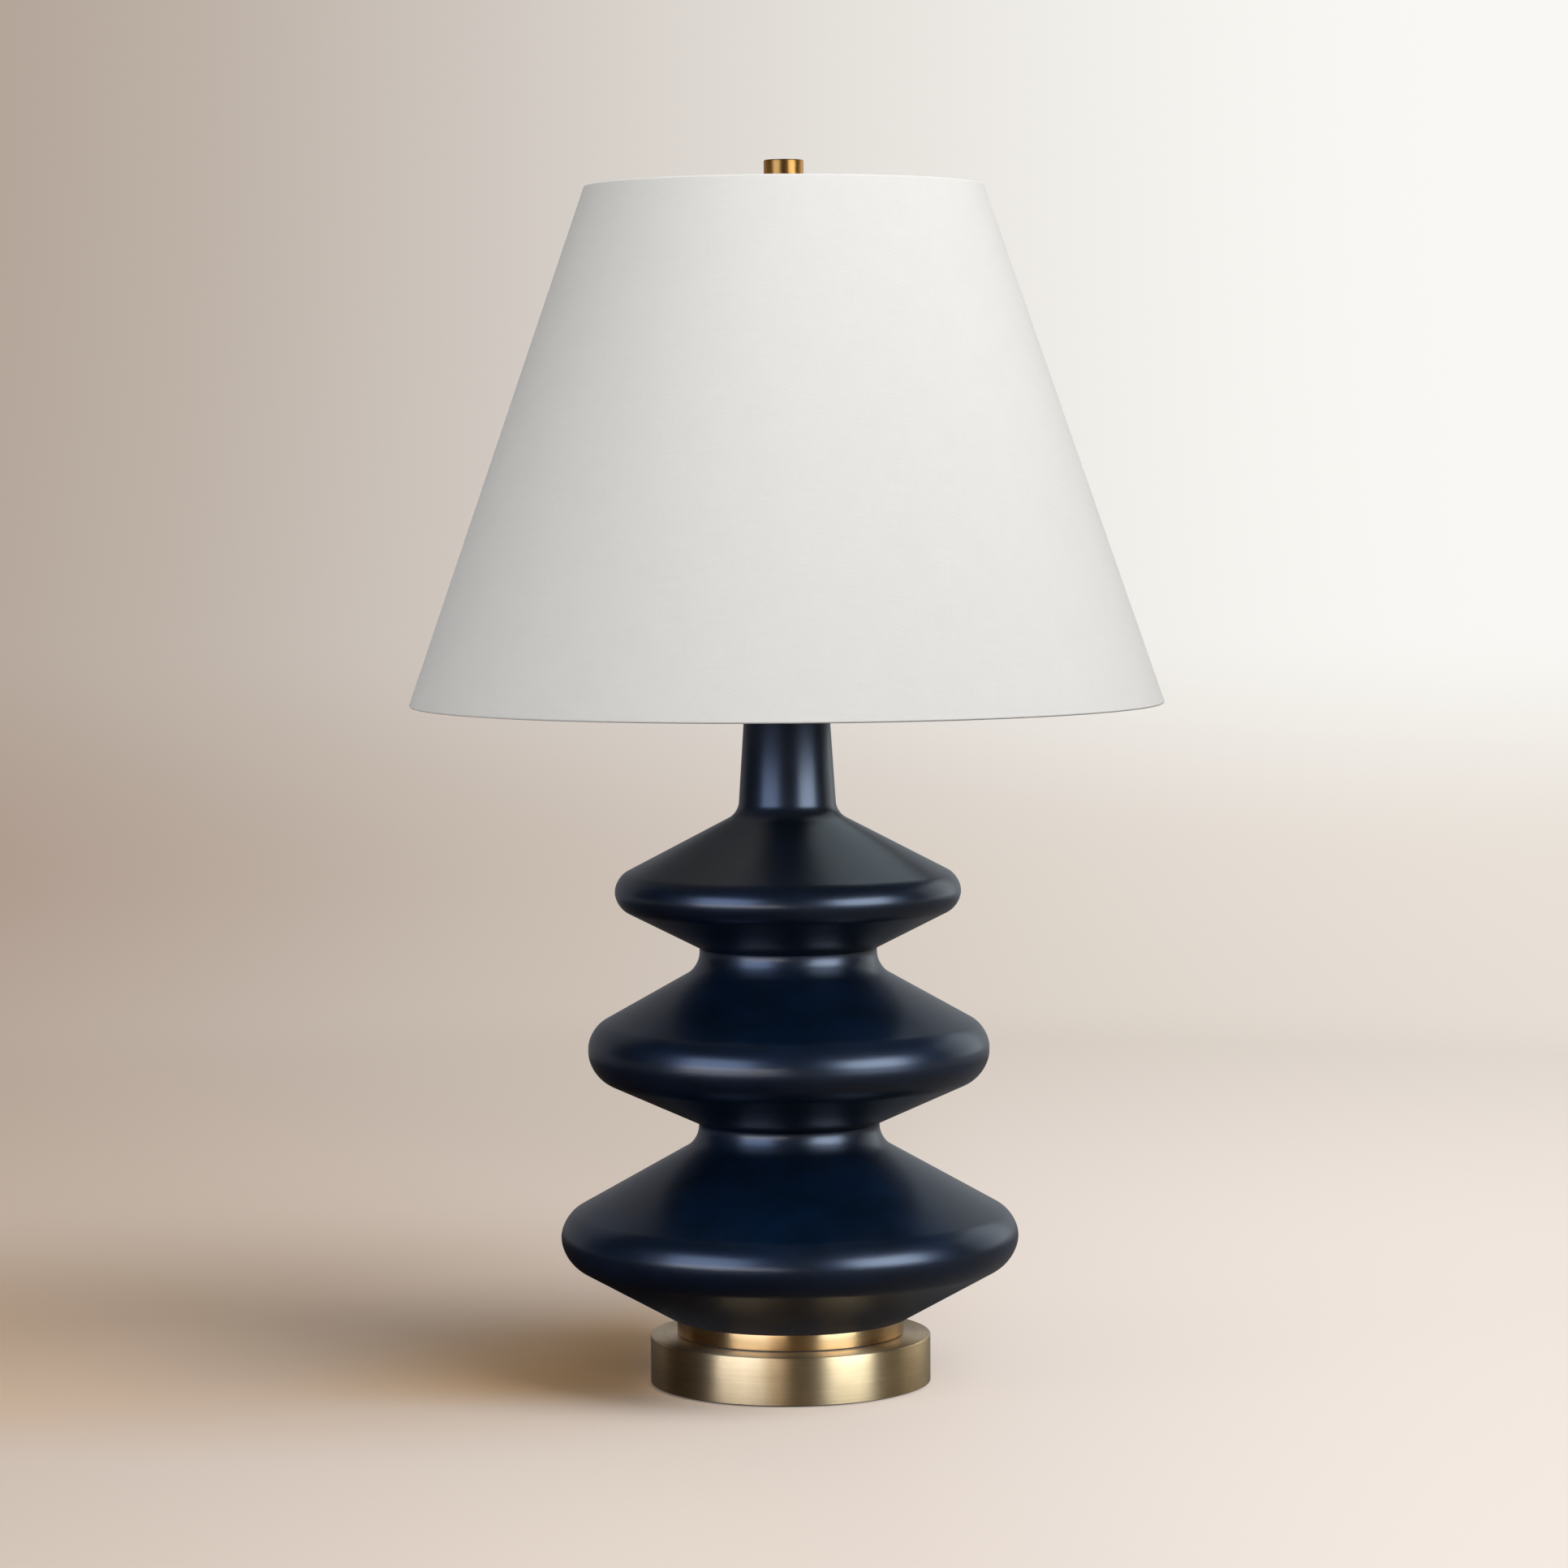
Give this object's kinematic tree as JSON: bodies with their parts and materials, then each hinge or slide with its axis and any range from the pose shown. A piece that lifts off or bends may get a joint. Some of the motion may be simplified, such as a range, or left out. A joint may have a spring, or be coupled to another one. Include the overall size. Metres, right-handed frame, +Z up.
{
  "type": "table lamp",
  "caption": "Table lamp with a navy glazed three-lobed gourd body on a round brass base, under a tapered off-white fabric shade on a harp.",
  "frame": {"origin": "on the floor, under the middle of the base", "axes": "+Z up along the lamp's axis, -Y to the front, cord inlet at +Y"},
  "size_m": [0.4318, 0.4316, 0.701],
  "materials": {
    "brushed_brass": "horizontally brushed, antique",
    "golden_brass": "satin lacquered",
    "plain_brass": "plain",
    "navy_glaze": "satin navy glaze",
    "cast_iron": "as cast",
    "felt": "needle felt",
    "black_rubber": "matt",
    "black_plastic": "moulded, matt",
    "white_plastic": "moulded, matt",
    "phenolic": "moulded phenolic",
    "zinc_steel": "zinc plated",
    "cork": "pressed cork",
    "card": "vulcanised fibre card",
    "aluminium": "plain",
    "shade_cloth": "off-white fine weave",
    "styrene": "white styrene sheet",
    "painted_wire": "white powder coat",
    "opal_glass": "opal white"
  },
  "bodies": {
    "lamp": {"felt_pad": "felt", "base_disc": "brushed_brass", "base_weight": "cast_iron", "cord_grommet": "black_rubber", "flat_washer": "zinc_steel", "lock_washer": "zinc_steel", "bottom_nut": "zinc_steel", "threaded_rod": "zinc_steel", "gap_spacer": "black_plastic", "base_ring": "golden_brass", "foot_washer": "cork", "gourd_body": "navy_glaze", "neck_gasket": "black_rubber", "neck_cap": "golden_brass", "neck_nut": "plain_brass", "harp_saddle": "plain_brass", "socket_cap": "plain_brass", "socket_set_screw": "zinc_steel", "socket_shell": "plain_brass", "socket_liner": "card", "socket_body": "phenolic", "screw_shell": "aluminium", "centre_contact": "plain_brass", "terminal_screws": "plain_brass", "switch_bushing": "black_plastic"},
    "switch": {"switch_shaft": "zinc_steel", "switch_knob": "black_plastic"},
    "harp": {"harp_bow": "plain_brass"},
    "sleeve_right": {"harp_sleeve_right": "plain_brass"},
    "sleeve_left": {"harp_sleeve_left": "plain_brass"},
    "stud": {"harp_stud": "plain_brass", "stud_washer": "plain_brass"},
    "shade": {"shade_fabric": "shade_cloth", "shade_lining": "styrene", "shade_top_ring": "painted_wire", "shade_bottom_ring": "painted_wire", "top_hem": "shade_cloth", "bottom_hem": "shade_cloth", "spider": "painted_wire"},
    "finial_thread": {"finial_insert": "plain_brass"},
    "finial": {"finial_knob": "golden_brass"},
    "bulb_tip": {"bulb_contact": "zinc_steel"},
    "bulb": {"bulb_insulator": "phenolic", "bulb_cap": "aluminium", "bulb_housing": "white_plastic", "bulb_board": "aluminium", "bulb_globe": "opal_glass"}
  },
  "joints": [
    {"name": "switch_turn", "type": "hinge", "parent": "lamp", "child": "switch", "pos_m": [0, -0.025, 0.4594], "axis": [0, -1, 0], "continuous": true},
    {"name": "harp_lift", "type": "slide", "parent": "lamp", "child": "harp", "axis": [0, 0, 1], "range_m": [0, 0.1]},
    {"name": "sleeve_right_slide", "type": "slide", "parent": "harp", "child": "sleeve_right", "axis": [0, 0, 1], "range_m": [0, 0.014]},
    {"name": "sleeve_left_slide", "type": "slide", "parent": "harp", "child": "sleeve_left", "axis": [0, 0, 1], "range_m": [0, 0.014]},
    {"name": "shade_swivel", "type": "hinge", "parent": "harp", "child": "stud", "pos_m": [0, 0, 0.6732], "axis": [0, 0, 1], "continuous": true},
    {"name": "shade_lift", "type": "slide", "parent": "stud", "child": "shade", "axis": [0, 0, 1], "range_m": [0, 0.3]},
    {"name": "finial_rise", "type": "slide", "parent": "shade", "child": "finial_thread", "axis": [0, 0, 1], "range_m": [0, 0.0114]},
    {"name": "finial_turn", "type": "hinge", "parent": "finial_thread", "child": "finial", "pos_m": [0, 0, 0.69], "axis": [0, 0, 1], "range_deg": [0, 4320]},
    {"name": "bulb_rise", "type": "slide", "parent": "lamp", "child": "bulb_tip", "axis": [0, 0, 1], "range_m": [0, 0.0237]},
    {"name": "bulb_turn", "type": "hinge", "parent": "bulb_tip", "child": "bulb", "pos_m": [0, 0, 0.5], "axis": [0, 0, 1], "range_deg": [0, 2340]}
  ],
  "couplings": [
    {"joint": "finial_rise", "follows": "finial_turn", "m_per_rad": 0.00014961},
    {"joint": "bulb_rise", "follows": "bulb_turn", "m_per_rad": 0.00057757}
  ]
}
